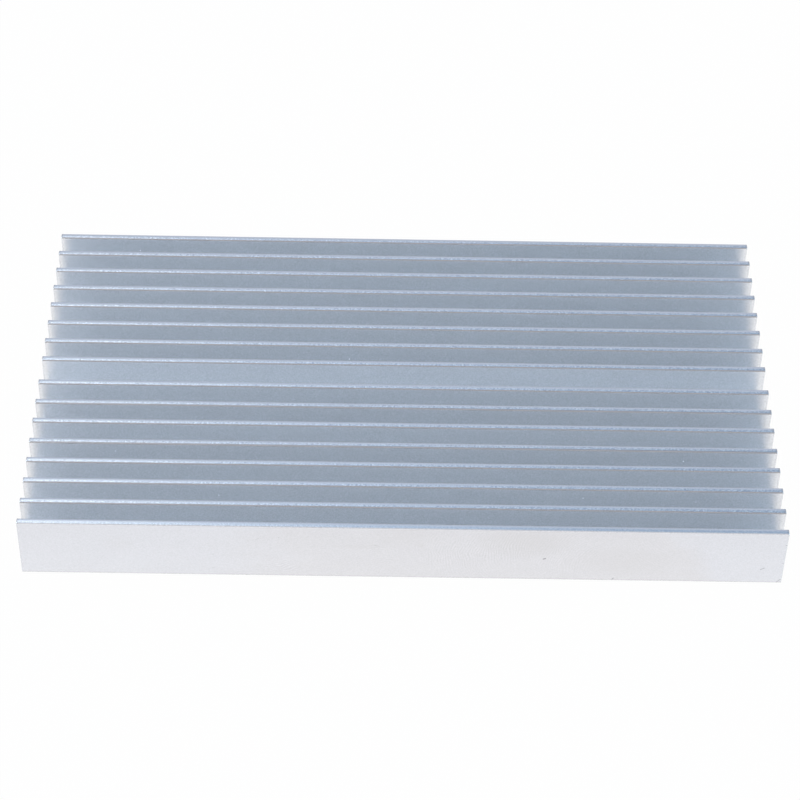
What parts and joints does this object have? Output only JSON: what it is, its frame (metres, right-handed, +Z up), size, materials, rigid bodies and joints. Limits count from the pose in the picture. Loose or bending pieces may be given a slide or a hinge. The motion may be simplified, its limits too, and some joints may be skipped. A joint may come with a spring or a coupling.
{
  "type": "extruded heat sink",
  "caption": "Flat aluminium heat sink bar: a plain base plate with straight parallel fins along its whole length and a wider channel down the middle, sawn square at both ends.",
  "frame": {"origin": "centre of the flat mounting face under the base plate", "axes": "+X along the fins (the direction of extrusion), +Y across the fins towards the back, +Z up from the mounting face to the fin tips"},
  "size_m": [0.16, 0.093, 0.015],
  "materials": {
    "aluminium": "etched and clear anodised, fine satin, with faint die lines along the fins and sawn ends"
  },
  "bodies": {
    "root": {"heat_sink": "aluminium"}
  },
  "joints": []
}
